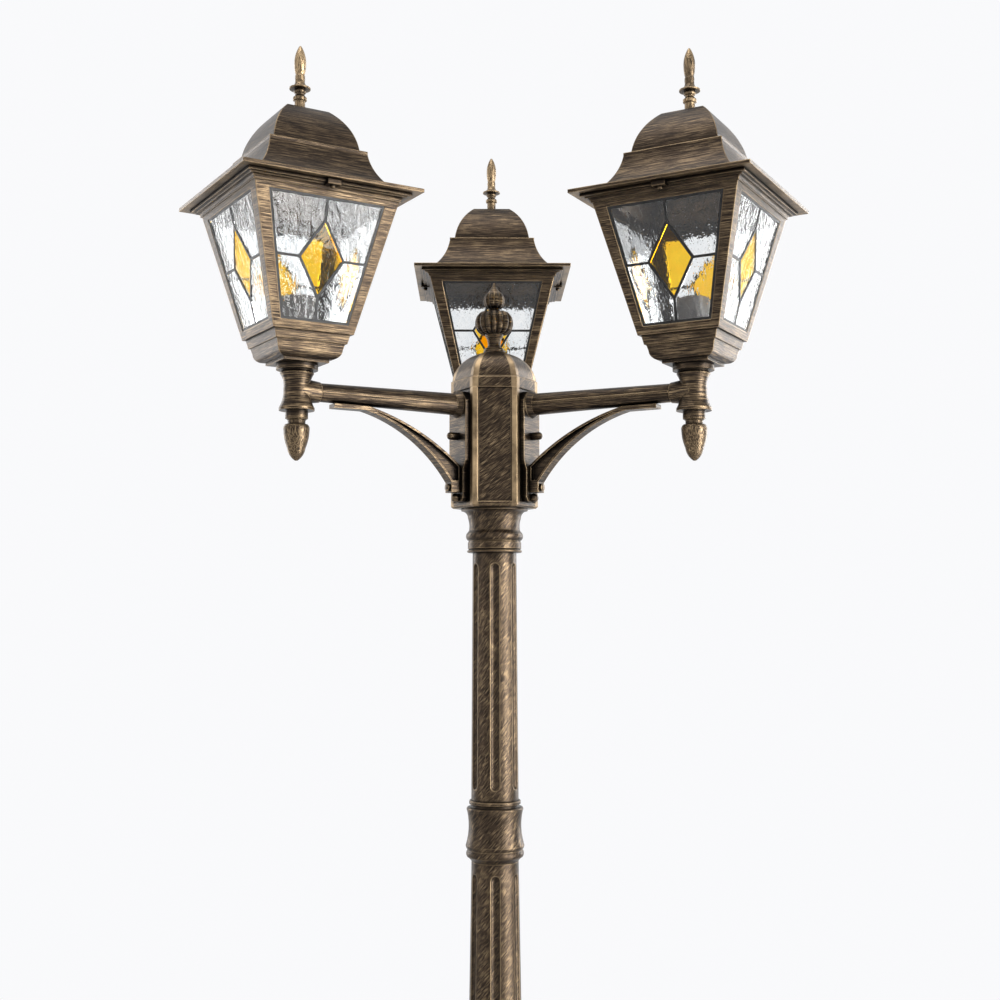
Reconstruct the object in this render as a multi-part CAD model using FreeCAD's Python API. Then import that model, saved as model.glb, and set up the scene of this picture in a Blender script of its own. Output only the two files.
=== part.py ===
import FreeCAD, Part
import math
import os

from FreeCAD import Vector

# Three-headed garden lamp post: cast, bronze-finished metal with leaded glass lanterns.
#
# Millimetres, +Z up, origin at the middle of the foot's underside, front towards -Y.
# One arm points straight back and the other two point forward, left and right.
# A lantern is drawn about its own axis, with +X pointing outwards along its arm, and is
# then carried out to the arm's end. Every height is stacked up from the ground.

# ---------------------------------------------------------------- driving dimensions

ARM_REACH = 235.0          # post axis to lantern axis
HEADS = {"left": 210.0, "right": 330.0, "rear": 90.0}   # arm directions, degrees

# the post, from the ground up
FOOT_HEIGHT = 110.0
PEDESTAL_HEIGHT = 270.0
COLUMN_LOW_HEIGHT = 455.0
COLUMN_MID_HEIGHT = 493.0
COLUMN_TOP_HEIGHT = 268.0
RING_HEIGHT = 65.0
COLLAR_HEIGHT = 48.5
HEX_HEIGHT = 129.5
CAP_HEIGHT = 47.0
ORNAMENT_HEIGHT = 76.5

FOOT_FLANGE_RADIUS = 120.0
FOOT_FLANGE_THICK = 12.0
ANCHOR_PCD = 200.0
ANCHOR_HOLE_RADIUS = 5.5
ANCHOR_COUNT = 4
CABLE_HOLE_RADIUS = 24.0
CAST_WALL = 4.5
NECK_STEP = 22.0           # the bell's neck beyond the lowest column

COLUMN_LOW_RADII = (40.0, 34.0)     # bottom, top
COLUMN_MID_RADII = (33.5, 25.6)
COLUMN_TOP_RADII = (25.7, 24.1)
FLUTE_COUNT = 6
FLUTE_WIDTH = 10.5
FLUTE_DEPTH = 3.0
FLUTE_END_GAP = 12.0                # plain band beyond each end of a flute
SPIGOT_HEIGHT = 14.0
SPIGOT_WALL = 4.0

HEX_EDGE = 48.0
HEX_RIB = 5.5
HEX_RECESS = 1.6
HEX_RIM = 5.5

ROD_RADIUS = 5.0
ROD_INTO_ORNAMENT = 12.0
BAR_RISE = 24.0
BAR_WIDTH = 24.0
BAR_THICK = 6.0
BOLT_RADIUS = 3.0
BOLT_NUT_FLATS = 10.0
BOLT_NUT_THICK = 5.0
UPPER_BOLT_DROP = 35.0              # below the arm's axis
LOWER_BOLT_RISE = 5.5               # above the inside of the head's floor

# the arm and what hangs on it
ARM_DROP = 17.0                     # arm axis below the hexagonal head's top
ARM_ROOT_RADIUS = 12.0
ARM_TIP_RADIUS = 9.4
ARM_BORE = 5.0
ARM_BOSS_RADIUS = 15.0
ARM_RIB = 1.2
PLATE_WIDTH = 36.0
PLATE_THICK = 7.0
TONGUE_WIDTH = 25.0
BRACE_WIDTH = 14.0
BRACE_FLANGE = 2.4
BRACE_WEB = 3.4
BRACE_SPAN = 110.0
BRACE_PAD_LENGTH = 39.0
BRACE_PAD_THICK = 4.4
BRACE_FOOT_DEPTH = 11.0
BRACE_FOOT_HEIGHT = 29.0
BRACE_SCREW_RADIUS = 2.5
BOSS_LENGTH = 6.0
PLATE_ABOVE_ARM = 13.5
ARM_SHORT = 24.0                    # from the tube's end to the lantern axis
SPIGOT_RADIUS = 8.0
ARM_SPIGOT_LENGTH = 13.0
STUD_RADIUS = 4.0
STUD_LENGTH = 9.0
SPINDLE_ABOVE_ARM = 27.0
SPINDLE_BELOW_ARM = 29.0
SPINDLE_FLANGE_RADIUS = 21.4
ACORN_LENGTH = 43.0

# the lantern
CUP_HEIGHT = 27.5
CUP_BOTTOM_HALF = 24.7
CUP_TOP_HALF = 40.6
CUP_WALL = 3.5
FRAME_HEIGHT = 134.0
FRAME_BOTTOM_HALF = 43.4
FRAME_TOP_HALF = 77.0
FRAME_WALL = 4.0
FRAME_FLOOR = 3.0
FRAME_MOULDING_HEIGHT = 8.0
FRAME_MOULDING_OUT = 10.0
POST_FACE_TOP = 13.5
POST_FACE_BOTTOM = 9.0
BORDER_TOP = 6.0
BORDER_BOTTOM = 8.5
EAVE_HALF = 96.0
EAVE_LIP = 3.6
ROOF_WALL = 2.6
ROOF_OGEE_HALF = 76.0
ROOF_SHOULDER_HALF = 53.0
ROOF_DOME_HALF = 47.0
ROOF_PLATE_HALF = 22.7
ROOF_OGEE_HEIGHT = 47.0
ROOF_DOME_HEIGHT = 46.0
ROOF_LIFT = 150.0
FINIAL_HEIGHT = 73.4

GLASS_THICK = 2.4
GLASS_GAP = 0.2
CAME_WIDTH = 2.6
CAME_THICK = 3.4
DIAMOND_WIDTH = 47.0
DIAMOND_HEIGHT = 76.0
DIAMOND_BASE = 33.0                 # its lowest corner, up the face from the frame's foot

HOLDER_RADIUS = 19.0
HOLDER_HEIGHT = 38.5
LAMP_BORE_RADIUS = 13.3
LAMP_BORE_DEPTH = 26.0
SHELL_THICK = 0.6
NIPPLE_RADIUS = 4.9
NIPPLE_BORE = 3.4
NIPPLE_IN_HOLDER = 8.0
NIPPLE_IN_SPINDLE = 12.0

SCREW_RADIUS = 2.5
SCREW_HEAD_RADIUS = 4.0
SCREW_HEAD_HEIGHT = 2.6
SCREW_INSET = 10.5                  # from the eave's edge to the screw
LUG_HALF = 7.0
LUG_THICK = 5.0

FIT = 0.05                          # radial clearance of a pin in its own body's hole
SPIGOT_FIT = 0.1
RUNNING = 0.10                      # radial clearance of a screw that turns
SEAT = 0.3                          # gap under the roof and over the braces' pads
SCREW_LIFT = 0.1

# ---------------------------------------------------------------- heights

PEDESTAL_Z = FOOT_HEIGHT
COLUMN_LOW_Z = PEDESTAL_Z + PEDESTAL_HEIGHT
RING_LOW_Z = COLUMN_LOW_Z + COLUMN_LOW_HEIGHT
COLUMN_MID_Z = RING_LOW_Z + RING_HEIGHT
RING_TOP_Z = COLUMN_MID_Z + COLUMN_MID_HEIGHT
COLUMN_TOP_Z = RING_TOP_Z + RING_HEIGHT
COLLAR_Z = COLUMN_TOP_Z + COLUMN_TOP_HEIGHT
HEX_Z = COLLAR_Z + COLLAR_HEIGHT
CAP_Z = HEX_Z + HEX_HEIGHT
ORNAMENT_Z = CAP_Z + CAP_HEIGHT
ARM_Z = CAP_Z - ARM_DROP

SPINDLE_TOP_Z = ARM_Z + SPINDLE_ABOVE_ARM
SPINDLE_BOTTOM_Z = ARM_Z - SPINDLE_BELOW_ARM
FRAME_Z = SPINDLE_TOP_Z + CUP_HEIGHT
FRAME_TOP_Z = FRAME_Z + FRAME_HEIGHT
ROOF_Z = FRAME_TOP_Z + FRAME_MOULDING_HEIGHT + SEAT
ROOF_PLATE_Z = ROOF_Z + ROOF_OGEE_HEIGHT + ROOF_DOME_HEIGHT

HEX_APOTHEM = HEX_EDGE * math.sqrt(3) / 2
PLATE_BACK = HEX_APOTHEM - HEX_RECESS
PLATE_FRONT = PLATE_BACK + PLATE_THICK
HEX_INNER = HEX_APOTHEM - HEX_RECESS - CAST_WALL
UPPER_BOLT_Z = ARM_Z - UPPER_BOLT_DROP
LOWER_BOLT_Z = HEX_Z + CAST_WALL + LOWER_BOLT_RISE
BOLT_START = HEX_INNER - BOLT_NUT_THICK - 1.0
BRACE_FOOT_Z = LOWER_BOLT_Z + 5.6
BRACE_SCREW_Z = BRACE_FOOT_Z + BRACE_FOOT_DEPTH / 2
ARM_END = ARM_REACH - ARM_SHORT

FACE_SLOPE = math.atan2(FRAME_TOP_HALF - FRAME_BOTTOM_HALF, FRAME_HEIGHT)
FACE_LENGTH = math.hypot(FRAME_TOP_HALF - FRAME_BOTTOM_HALF, FRAME_HEIGHT)
CAME_DEPTH = (FRAME_WALL - CAME_THICK) / 2
HOLDER_Z = FRAME_Z + FRAME_FLOOR
SCREW_OUT = EAVE_HALF - SCREW_INSET
LUG_OUT = EAVE_HALF - SCREW_INSET / 2
ANCHOR_BAR_Z = FOOT_FLANGE_THICK + BAR_RISE
FOOT_BELL_BORE = FOOT_FLANGE_RADIUS - 60.0

UP = Vector(0, 0, 1)
ORIGIN = Vector(0, 0, 0)


# ---------------------------------------------------------------- drawing helpers

def edges_of(start, steps):
    """Lines (x, z) and arcs (mid x, mid z, x, z) in the XZ plane, from start onwards."""
    made = []
    here = Vector(start[0], 0, start[1])
    for step in steps:
        there = Vector(step[-2], 0, step[-1])
        if len(step) == 4:
            made.append(Part.Arc(here, Vector(step[0], 0, step[1]), there).toShape())
        else:
            made.append(Part.LineSegment(here, there).toShape())
        here = there
    return made


def turned(start, *steps):
    """A solid of revolution about Z, from an outline that is closed by a last line."""
    made = edges_of(start, list(steps) + [start])
    return Part.Face(Part.Wire(made)).revolve(ORIGIN, UP, 360)


def sided(sides, start, *steps):
    """A solid whose level sections are regular polygons, one flat towards the front.

    The outline gives half the width across flats.
    """
    right = edges_of(start, steps)
    top = Vector(steps[-1][-2], 0, steps[-1][-1])
    bottom = Vector(start[0], 0, start[1])
    left = [e.mirror(ORIGIN, Vector(1, 0, 0)) for e in right]
    caps = [Part.makeLine(p, Vector(-p.x, 0, p.z)) for p in (bottom, top)]
    face = Part.Face(Part.Wire(Part.__sortEdges__(right + left + caps)))
    reach = 2 * max(abs(v.Point.x) for v in face.Vertexes)
    bar = face.extrude(Vector(0, 2 * reach, 0))
    bar.translate(Vector(0, -reach, 0))
    bar.rotate(ORIGIN, UP, 90)
    solid = bar
    for turn in range(1, sides // 2):
        other = bar.copy()
        other.rotate(ORIGIN, UP, 360.0 / sides * turn)
        solid = solid.common(other)
    return solid


def plate(points, height, z=0.0):
    """A flat polygon of (x, y) points raised from z by height."""
    wire = Part.makePolygon([Vector(x, y, z) for x, y in points + points[:1]])
    return Part.Face(wire).extrude(Vector(0, 0, height))


def rod(radius, length, base, axis=UP):
    return Part.makeCylinder(radius, length, base, axis)


def hexagon(flats, length, z, bore):
    """A nut standing on z."""
    corner = flats / math.sqrt(3)
    points = [(corner * math.cos(math.radians(60 * k)), corner * math.sin(math.radians(60 * k)))
              for k in range(6)]
    return plate(points, length, z).cut(rod(bore, length, Vector(0, 0, z)))


def around(shape, count, first=0.0):
    """Copies of a shape, evenly turned about Z."""
    made = []
    for k in range(count):
        copy = shape.copy()
        copy.rotate(ORIGIN, UP, first + 360.0 / count * k)
        made.append(copy)
    return made


def along_arm(shape, angle):
    """Turns a shape drawn along +X, about the post's axis, to its arm's direction."""
    copy = shape.copy()
    copy.rotate(ORIGIN, UP, angle)
    return copy


def at_head(shape, angle):
    """Carries a shape drawn about the lantern's own axis out to the end of its arm."""
    copy = shape.copy()
    copy.translate(Vector(ARM_REACH, 0, 0))
    copy.rotate(ORIGIN, UP, angle)
    return copy


def save(name, shape):
    solids = shape.Solids if hasattr(shape, "Solids") else [s for part in shape for s in part.Solids]
    whole = solids[0] if len(solids) == 1 else Part.makeCompound(solids)
    if not all(s.isValid() and s.Volume > 0 for s in solids):
        print("not a sound solid:", name)
    whole.exportStep(os.path.join("parts", name + ".step"))


# ---------------------------------------------------------------- the post

def column(z, height, radii):
    """A tapered, fluted tube."""
    bottom, top = radii
    tube = turned((bottom - CAST_WALL, z), (bottom, z), (top, z + height), (top - CAST_WALL, z + height))
    cutter_radius = ((FLUTE_WIDTH / 2) ** 2 + FLUTE_DEPTH ** 2) / (2 * FLUTE_DEPTH)
    out = cutter_radius - FLUTE_DEPTH
    lean = (bottom - top) / height
    inset = FLUTE_END_GAP + FLUTE_WIDTH / 2
    low = Vector(bottom - lean * inset + out, 0, z + inset)
    high = Vector(top + lean * inset + out, 0, z + height - inset)
    flute = rod(cutter_radius, (high - low).Length, low, high - low)
    for end in (low, high):
        flute = flute.fuse(Part.makeSphere(cutter_radius, end))
    return tube.cut(around(flute, FLUTE_COUNT, 30.0))


def bore_at(radii, height, rise):
    """Inner radius of a column at some height above its bottom."""
    bottom, top = radii
    return bottom + (top - bottom) * rise / height - CAST_WALL


def joint_ring(z, above, above_height, below):
    """The moulded ring between two columns, with a spigot up and a spigot down."""
    up = bore_at(above, above_height, SPIGOT_HEIGHT) - SPIGOT_FIT
    down = below[1] - CAST_WALL - SPIGOT_FIT
    r = above[0]
    top = z + RING_HEIGHT
    bore = min(up, down) - SPIGOT_WALL
    return turned(
        (bore, z - SPIGOT_HEIGHT), (down, z - SPIGOT_HEIGHT), (down, z),
        (r - 0.4, z), (r + 1.2, z + 2.2, r + 4.6, z + 5.0),
        (r + 5.6, z + 8.4, r + 4.6, z + 11.6), (r + 4.2, z + 12.6),
        (r + 5.4, z + 14.4, r + 6.1, z + 17.0), (r + 2.9, z + 35.0, r + 4.6, z + 54.0),
        (r + 5.0, z + 56.2, r + 4.0, z + 57.6), (r + 0.8, z + 58.0), (r + 0.8, z + 61.0),
        (r + 2.3, z + 61.2), (r + 2.3, z + 64.0), (r + 1.6, top), (up, top),
        (up, top + SPIGOT_HEIGHT), (bore, top + SPIGOT_HEIGHT))


def foot_plate():
    """The flat ring that is bolted to the ground."""
    f = FOOT_FLANGE_RADIUS
    t = FOOT_FLANGE_THICK
    body = turned((CABLE_HOLE_RADIUS, 0), (f - 2.0, 0), (f, 2.0), (f, t - 3.0), (f - 3.0, t),
                  (CABLE_HOLE_RADIUS, t))
    hole = rod(ANCHOR_HOLE_RADIUS, t, Vector(ANCHOR_PCD / 2, 0, 0))
    return body.cut(around(hole, ANCHOR_COUNT, 45.0))


def foot_bell():
    """The stepped bell that stands on the plate."""
    f = FOOT_FLANGE_RADIUS
    t = FOOT_FLANGE_THICK
    neck = COLUMN_LOW_RADII[0] + NECK_STEP
    top = FOOT_HEIGHT
    wall = CAST_WALL
    return turned(
        (f - 48.0, t), (f - 34.0, t), (f - 34.0, t + 12.0), (f - 40.0, t + 20.0, f - 40.0, t + 22.0),
        (neck + 1.0, top - 58.0, neck, top - 10.0), (neck + 4.0, top - 8.0), (neck + 4.0, top),
        (neck - wall, top), (neck - wall, top - 12.0), (neck - wall - 1.0, top - 50.0),
        (f - 48.0, t + 20.0))


def pedestal():
    """The vase between the foot and the lowest column."""
    z = PEDESTAL_Z
    top = z + PEDESTAL_HEIGHT
    r = COLUMN_LOW_RADII[0]
    low = r + NECK_STEP
    wall = CAST_WALL
    seat = bore_at(COLUMN_LOW_RADII, COLUMN_LOW_HEIGHT, SPIGOT_HEIGHT) - SPIGOT_FIT
    body = turned(
        (low - wall - SPIGOT_FIT, z - 8.0), (low - wall - SPIGOT_FIT, z), (low + 1.0, z),
        (low + 3.0, z + 6.0, low + 1.0, z + 12.0), (low - 5.0, z + 14.0),
        (low - 5.0, z + 26.0), (low - 9.0, z + 30.0),
        (low - 2.0, z + 70.0, low - 10.0, z + 110.0), (r + 4.0, z + 175.0, r + 2.0, top - 40.0),
        (r + 3.0, top - 36.0), (r + 9.0, top - 30.0, r + 3.0, top - 24.0),
        (r + 3.0, top - 18.0), (r + 7.0, top - 14.0), (r + 7.0, top - 6.0), (r + 4.0, top),
        (seat, top), (seat, top + SPIGOT_HEIGHT), (seat - SPIGOT_WALL, top + SPIGOT_HEIGHT),
        (seat - SPIGOT_WALL, top - 30.0), (low - 9.0 - 3 * wall, z + 100.0),
        (low - 9.0 - 2 * wall, z + 30.0), (low - 5.0 - 2 * wall, z - 8.0))
    cutter = 9.0
    groove_low = Vector(low - 4.5 + cutter - 3.6, 0, z + 66.0)
    groove_high = Vector(low - 14.0 + cutter - 3.6, 0, z + 128.0)
    groove = rod(cutter, (groove_high - groove_low).Length, groove_low, groove_high - groove_low)
    for end in (groove_low, groove_high):
        groove = groove.fuse(Part.makeSphere(cutter, end))
    return body.cut(around(groove, 2 * FLUTE_COUNT, 15.0))


def collar():
    """The flared neck that carries the hexagonal head."""
    z = COLLAR_Z
    r = COLUMN_TOP_RADII[1]
    top = HEX_Z
    down = r - CAST_WALL - SPIGOT_FIT
    bore = down - SPIGOT_WALL
    return turned(
        (bore, z - SPIGOT_HEIGHT), (down, z - SPIGOT_HEIGHT), (down, z), (r + 4.6, z),
        (r + 6.1, z + 1.4, r + 4.8, z + 2.8), (r + 4.2, z + 3.6), (r + 5.3, z + 4.2),
        (r + 5.3, z + 11.0), (r + 4.4, z + 12.4), (r + 4.6, z + 13.0),
        (r + 7.4, z + 18.0, r + 5.2, z + 22.6), (r + 4.0, z + 24.6),
        (r + 3.8, z + 32.0, r + 5.2, z + 38.0), (r + 7.4, z + 43.6, r + 12.6, z + 46.0),
        (r + 12.6, top), (bore, top))


def hex_head():
    """The hollow hexagonal block: six ribs with recessed panels between them."""
    a = HEX_APOTHEM
    z = HEX_Z
    shell = sided(6, (a - 2.0, z), (a, z + 2.0), (a, CAP_Z))
    inner = sided(6, (a - HEX_RECESS - CAST_WALL, z + CAST_WALL), (a - HEX_RECESS - CAST_WALL, CAP_Z))
    panel_width = HEX_EDGE - 2 * HEX_RIB
    corner = Vector(a - HEX_RECESS, -panel_width / 2, z + HEX_RIM)
    panel = Part.makeBox(10.0, panel_width, HEX_HEIGHT, corner)
    body = shell.cut(inner).cut(around(panel, 6, 30.0))
    body = body.cut(rod(COLUMN_TOP_RADII[1] - 14.0, CAST_WALL, Vector(0, 0, z)))
    wire_way = rod(ARM_BORE, 20.0, Vector(a - 15.0, 0, ARM_Z), Vector(1, 0, 0))
    bolts = [rod(BOLT_RADIUS + FIT, 20.0, Vector(a - 15.0, 0, height), Vector(1, 0, 0))
             for height in (UPPER_BOLT_Z, LOWER_BOLT_Z)]
    for angle in HEADS.values():
        for way in [wire_way] + bolts:
            body = body.cut(along_arm(way, angle))
    return body


def head_cap():
    """The faceted dome over the head."""
    a = HEX_APOTHEM
    z = CAP_Z
    band = 12.5
    outer = sided(6, (a, z), (a, z + band - 1.0), (a - 1.2, z + band),
                  (a - 6.0, z + 27.0, 16.0, z + 43.0))
    inner = sided(6, (a - 3.5, z), (a - 3.5, z + band - 2.0), (a - 9.5, z + 24.0, 14.0, z + 38.0))
    neck = turned((ROD_RADIUS + FIT, z + 39.0), (14.0, z + 39.0), (14.5, z + 43.0), (12.0, z + 45.0),
                  (12.0, z + CAP_HEIGHT), (ROD_RADIUS + FIT, z + CAP_HEIGHT))
    body = outer.cut(inner).cut(rod(ROD_RADIUS + FIT, CAP_HEIGHT, Vector(0, 0, z)))
    return body.fuse(neck).removeSplitter()


def ornament():
    """The urn on top: a ball under a pointed bud."""
    z = ORNAMENT_Z
    body = turned(
        (0, z), (11.0, z), (11.0, z + 2.2), (7.0, z + 5.0, 7.2, z + 9.0),
        (8.0, z + 14.0, 10.2, z + 16.5), (10.2, z + 19.0), (8.6, z + 19.8),
        (21.3, z + 31.0, 7.5, z + 44.6), (6.4, z + 46.0), (6.4, z + 48.6),
        (11.7, z + 57.5, 8.0, z + 65.0), (3.0, z + 69.5, 0.8, z + ORNAMENT_HEIGHT),
        (0, z + ORNAMENT_HEIGHT))
    return body.cut(rod(ROD_RADIUS + FIT, ROD_INTO_ORNAMENT + 2.0, Vector(0, 0, z)))


def tie_rod():
    """The long rod that clamps the whole post between the anchor bar and the ornament."""
    return rod(ROD_RADIUS, ORNAMENT_Z + ROD_INTO_ORNAMENT - ANCHOR_BAR_Z, Vector(0, 0, ANCHOR_BAR_Z))


def anchor_bar():
    """The tapped strap across the foot that the tie rod pulls on, with its two legs."""
    half = FOOT_BELL_BORE - 2.0
    bar = Part.makeBox(2 * half, BAR_WIDTH, BAR_THICK, Vector(-half, -BAR_WIDTH / 2, ANCHOR_BAR_Z))
    height = ANCHOR_BAR_Z - FOOT_FLANGE_THICK
    legs = [Part.makeBox(BAR_THICK, BAR_WIDTH, height,
                         Vector(side * (half - BAR_THICK / 2) - BAR_THICK / 2, -BAR_WIDTH / 2,
                                FOOT_FLANGE_THICK)) for side in (-1, 1)]
    return [bar.cut(rod(ROD_RADIUS + FIT, BAR_THICK, Vector(0, 0, ANCHOR_BAR_Z)))] + legs


# ---------------------------------------------------------------- arms

def crosswise(shape, x, z):
    """Lays a shape that stands along Z down along +X, with its base at (x, 0, z)."""
    copy = shape.copy()
    copy.rotate(ORIGIN, Vector(0, 1, 0), 90)
    copy.translate(Vector(x, 0, z))
    return copy


def arm_radius(x):
    """Radius of the tapered arm at a distance from the post's axis."""
    share = (x - PLATE_FRONT) / (ARM_REACH - PLATE_FRONT)
    return ARM_ROOT_RADIUS + (ARM_TIP_RADIUS - ARM_ROOT_RADIUS) * share


def side_rib(side):
    """The raised line along one side of the arm."""
    start = PLATE_FRONT + BOSS_LENGTH
    points = [(start, 0), (ARM_END, 0), (ARM_END, side * (arm_radius(ARM_END) + ARM_RIB)),
              (start, side * (arm_radius(start) + ARM_RIB))]
    return plate(points, 2 * ARM_RIB, ARM_Z - ARM_RIB)


def wall_plate():
    """The shield that is bolted to the hexagonal head: wide above, a narrow tongue below."""
    top = ARM_Z + PLATE_ABOVE_ARM
    low = HEX_Z + HEX_RIM + 0.5
    neck = BRACE_FOOT_Z + BRACE_FOOT_HEIGHT
    half = PLATE_WIDTH / 2
    tongue = TONGUE_WIDTH / 2
    right = [(half - 9.0, top), (half, top - 10.0), (half, neck + 6.0), (tongue, neck - 4.0),
             (tongue, low + 4.0), (tongue - 4.0, low)]
    outline = right + [(-y, z) for y, z in reversed(right)]
    wire = Part.makePolygon([Vector(PLATE_BACK, y, z) for y, z in outline + outline[:1]])
    return Part.Face(wire).extrude(Vector(PLATE_THICK, 0, 0))


def arm():
    """Wall plate, boss and tapered tube, cast in one, with a spigot for the spindle."""
    out = Vector(1, 0, 0)
    root = Vector(PLATE_FRONT, 0, ARM_Z)
    tube = Part.makeCone(ARM_ROOT_RADIUS, arm_radius(ARM_END), ARM_END - PLATE_FRONT, root, out)
    boss = Part.makeCone(ARM_BOSS_RADIUS, arm_radius(PLATE_FRONT), BOSS_LENGTH, root, out)
    spigot = rod(SPIGOT_RADIUS, ARM_SPIGOT_LENGTH, Vector(ARM_END, 0, ARM_Z), out)
    body = wall_plate().fuse([boss, tube, spigot, side_rib(-1), side_rib(1)])
    body = body.cut(rod(ARM_BORE, ARM_REACH, Vector(0, 0, ARM_Z), out))
    for height in (UPPER_BOLT_Z, LOWER_BOLT_Z):
        body = body.cut(rod(BOLT_RADIUS + FIT, 2 * PLATE_THICK, Vector(PLATE_BACK - 1.0, 0, height), out))
    tapped = Vector(PLATE_BACK + 2.0, 0, BRACE_SCREW_Z)
    body = body.cut(rod(BRACE_SCREW_RADIUS + FIT, PLATE_THICK, tapped, out))
    return body.removeSplitter()


def brace_face():
    """The curved bracket in the arm's own plane."""
    back = PLATE_FRONT
    low = BRACE_FOOT_Z
    foot_x = back + BRACE_FOOT_DEPTH
    foot_top = low + BRACE_FOOT_DEPTH
    shoulder = low + BRACE_FOOT_HEIGHT
    pad_x = back + BRACE_SPAN
    pad = ARM_Z - arm_radius(pad_x) - SEAT
    under = pad - BRACE_PAD_THICK
    end = pad_x + BRACE_PAD_LENGTH
    upper_mid = ((back + pad_x) / 2, (shoulder + pad) / 2 + 8.5)
    lower_mid = ((foot_x + pad_x) / 2 - 7.0, (foot_top + under) / 2 + 8.0)
    steps = [(foot_x, low), (foot_x, foot_top), lower_mid + (pad_x + 4.0, under), (end, under), (end, pad),
             (pad_x, pad), upper_mid + (back, shoulder), (back, low)]
    return Part.Face(Part.Wire(edges_of((back, low), steps)))


def brace():
    """The curved bracket of H section, with a pad under the arm and a solid foot."""
    face = brace_face()
    body = face.extrude(Vector(0, BRACE_WIDTH, 0))
    body.translate(Vector(0, -BRACE_WIDTH / 2, 0))
    core = face.OuterWire.makeOffset2D(-BRACE_FLANGE)
    depth = (BRACE_WIDTH - BRACE_WEB) / 2
    pocket = Part.Face(core).extrude(Vector(0, depth, 0))
    reach = BRACE_SPAN - 10.0
    zone = Part.makeBox(reach, BRACE_WIDTH, ARM_Z - BRACE_FOOT_Z - 2 * BRACE_FOOT_DEPTH,
                        Vector(PLATE_FRONT, -BRACE_WIDTH / 2, BRACE_FOOT_Z + BRACE_FOOT_DEPTH + 2.0))
    for start in (-BRACE_WIDTH / 2, BRACE_WIDTH / 2 - depth):
        side = pocket.copy()
        side.translate(Vector(0, start, 0))
        body = body.cut(side.common(zone))
    hole = rod(BRACE_SCREW_RADIUS + FIT, 2 * BRACE_FOOT_DEPTH, Vector(PLATE_FRONT - 1.0, 0, BRACE_SCREW_Z),
               Vector(1, 0, 0))
    return body.cut(hole)


def arm_bolt(height, head_radius, head_length):
    """A round-headed bolt through a wall plate and the hexagonal head."""
    grip = PLATE_FRONT - BOLT_START
    profile = turned((0, 0), (BOLT_RADIUS, 0), (BOLT_RADIUS, grip), (head_radius, grip),
                     (head_radius, grip + head_length),
                     (0.8 * head_radius, grip + head_length + 0.5 * head_radius,
                      0.3 * head_radius, grip + head_length + 0.8 * head_radius),
                     (0, grip + head_length + 0.8 * head_radius))
    return crosswise(profile, BOLT_START, height)


def arm_nut(height):
    nut = hexagon(BOLT_NUT_FLATS, BOLT_NUT_THICK, 0, BOLT_RADIUS + FIT)
    nut.rotate(ORIGIN, UP, 30)
    return crosswise(nut, HEX_INNER - BOLT_NUT_THICK, height)


def brace_screw():
    """The screw that holds the bracket's foot to the wall plate."""
    start = PLATE_BACK + 2.5
    grip = PLATE_FRONT + BRACE_FOOT_DEPTH - start
    r = BRACE_SCREW_RADIUS
    head = 1.7 * r
    screw = turned((0, 0), (r, 0), (r, grip), (head, grip), (head, grip + 2.4), (0, grip + 3.2))
    return crosswise(screw, start, BRACE_SCREW_Z)


# ---------------------------------------------------------------- what holds a lantern up

def spindle():
    """The turned baluster at the arm's end, with a boss for the arm."""
    z = ARM_Z
    top = SPINDLE_TOP_Z
    body = turned(
        (0, SPINDLE_BOTTOM_Z), (11.6, SPINDLE_BOTTOM_Z), (11.6, z - 20.7), (18.2, z - 20.7),
        (18.2, z - 18.0), (14.6, z - 9.0, 13.8, z + 1.5), (14.6, z + 12.0, 17.4, z + 17.5), (16.5, z + 19.5),
        (16.5, top - 6.0), (SPINDLE_FLANGE_RADIUS, top - 6.0), (SPINDLE_FLANGE_RADIUS, top), (0, top))
    length = ARM_REACH - ARM_END
    inwards = Vector(-1, 0, 0)
    boss = Part.makeCone(ARM_BOSS_RADIUS - 1.0, arm_radius(ARM_END) + 1.0, length, Vector(0, 0, z), inwards)
    body = body.fuse(boss)
    body = body.cut(rod(SPIGOT_RADIUS + FIT, ARM_SPIGOT_LENGTH, Vector(-length, 0, z), Vector(1, 0, 0)))
    body = body.cut(rod(ARM_BORE, length, Vector(-length, 0, z), Vector(1, 0, 0)))
    body = body.cut(rod(NIPPLE_RADIUS + FIT, top - z, Vector(0, 0, z)))
    return body.cut(rod(STUD_RADIUS + FIT, STUD_LENGTH + 1.0, Vector(0, 0, SPINDLE_BOTTOM_Z)))


def acorn():
    """The drop under the spindle, with its stud."""
    top = SPINDLE_BOTTOM_Z
    tip = top - ACORN_LENGTH
    return turned(
        (0, tip), (1.4, tip), (6.4, tip + 5.0, 9.4, tip + 13.0), (12.2, tip + 22.0, 13.2, tip + 31.0),
        (12.9, tip + 35.0, 11.5, tip + 37.0), (9.0, tip + 37.6), (9.0, tip + 41.0), (11.0, top),
        (STUD_RADIUS, top), (STUD_RADIUS, top + STUD_LENGTH), (0, top + STUD_LENGTH))


def nipple():
    """The threaded tube from the spindle up through cup and frame into the lamp holder."""
    low = Vector(0, 0, SPINDLE_TOP_Z - NIPPLE_IN_SPINDLE)
    length = HOLDER_Z + NIPPLE_IN_HOLDER - low.z
    return rod(NIPPLE_RADIUS, length, low).cut(rod(NIPPLE_BORE, length, low))


# ---------------------------------------------------------------- the lantern

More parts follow.
